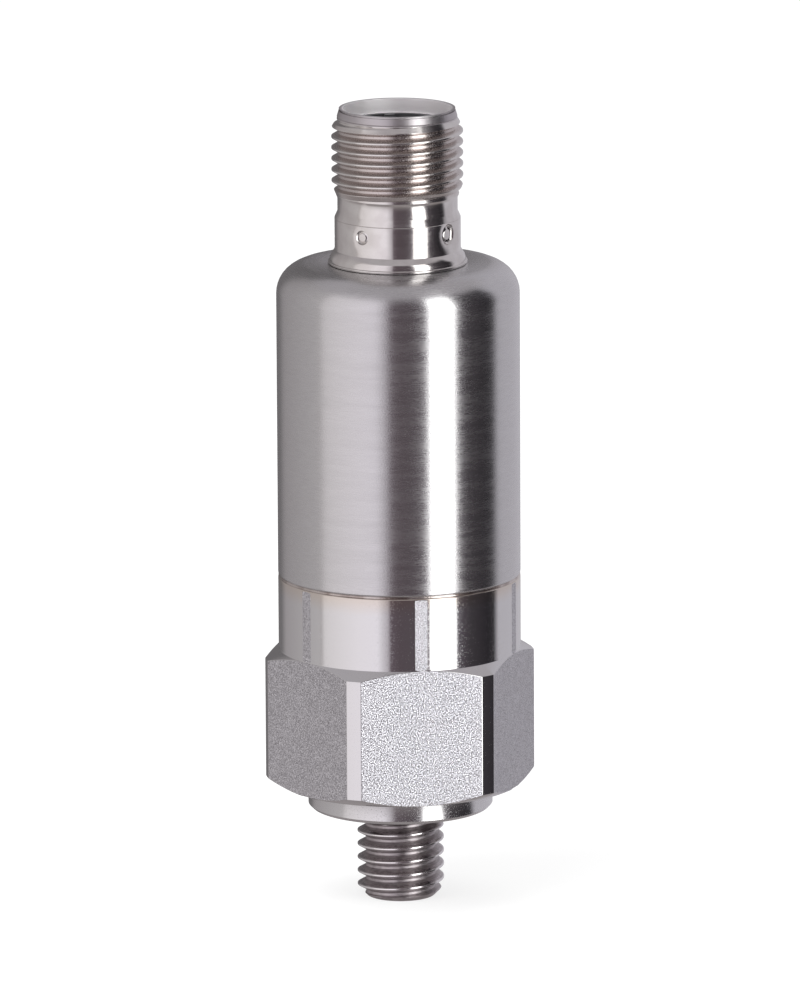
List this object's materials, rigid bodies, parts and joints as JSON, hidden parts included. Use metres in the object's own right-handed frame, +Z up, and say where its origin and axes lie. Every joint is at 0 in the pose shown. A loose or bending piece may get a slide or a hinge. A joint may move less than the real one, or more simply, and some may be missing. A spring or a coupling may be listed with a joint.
{
  "type": "vibration transmitter",
  "caption": "Sealed steel vibration transmitter: round housing welded to a hexagonal base, threaded mounting stud below and a threaded plug connector on top.",
  "frame": {"origin": "centre of the annular seating face that meets the machine", "axes": "+Z up the sensor's axis to the plug connector, the stud points to -Z; two of the hexagon's flats face -Y and +Y"},
  "size_m": [0.0246, 0.022, 0.0729],
  "materials": {
    "base_steel": "turned and polished, raw bar finish on the flats",
    "housing_steel": "finely brushed round the axis",
    "stud_steel": "dark, rolled thread",
    "weld_bead": "bright laser weld with a light heat tint",
    "connector_nickel": "bright nickel plate",
    "carrier_plastic": "black, glass filled, moulded",
    "contact_gold": "gold plated",
    "seal_rubber": "black",
    "board_laminate": "green solder mask",
    "chip_plastic": "black moulding compound",
    "capacitor_plastic": "moulded, ochre",
    "capacitor_ceramic": "fired ceramic, tan",
    "lid_metal": "plated lid",
    "holder_plastic": "natural moulded plastic",
    "sleeve_film": "polyester film",
    "flex_film": "amber polyimide film",
    "tinned_pin": "tinned",
    "screw_steel": "plain"
  },
  "bodies": {
    "root": {"mounting_stud": "stud_steel", "sensor_base": "base_steel", "weld_seam": "weld_bead", "housing": "housing_steel", "connector_shell": "connector_nickel", "contact_carrier": "carrier_plastic", "contact_pin_1": "contact_gold", "contact_pin_2": "contact_gold", "contact_pin_3": "contact_gold", "contact_pin_4": "contact_gold", "carrier_seal": "seal_rubber", "insulating_sleeve": "sleeve_film", "board_holder": "holder_plastic", "main_board": "board_laminate", "terminal_board": "board_laminate", "link_header": "chip_plastic", "link_pins": "tinned_pin", "sensor_board": "board_laminate", "sensor_screws": "screw_steel", "accelerometer_chip": "lid_metal", "lower_flex_socket": "holder_plastic", "upper_flex_socket": "holder_plastic", "sensor_flex": "flex_film", "processor_chip": "chip_plastic", "filter_chip": "chip_plastic", "crystal": "lid_metal", "loop_driver_chip": "chip_plastic", "voltage_regulator": "chip_plastic", "choke_coil": "chip_plastic", "surge_diode": "chip_plastic", "tantalum_capacitor_1": "capacitor_plastic", "tantalum_capacitor_2": "capacitor_plastic", "ceramic_capacitors": "capacitor_ceramic"}
  },
  "joints": []
}
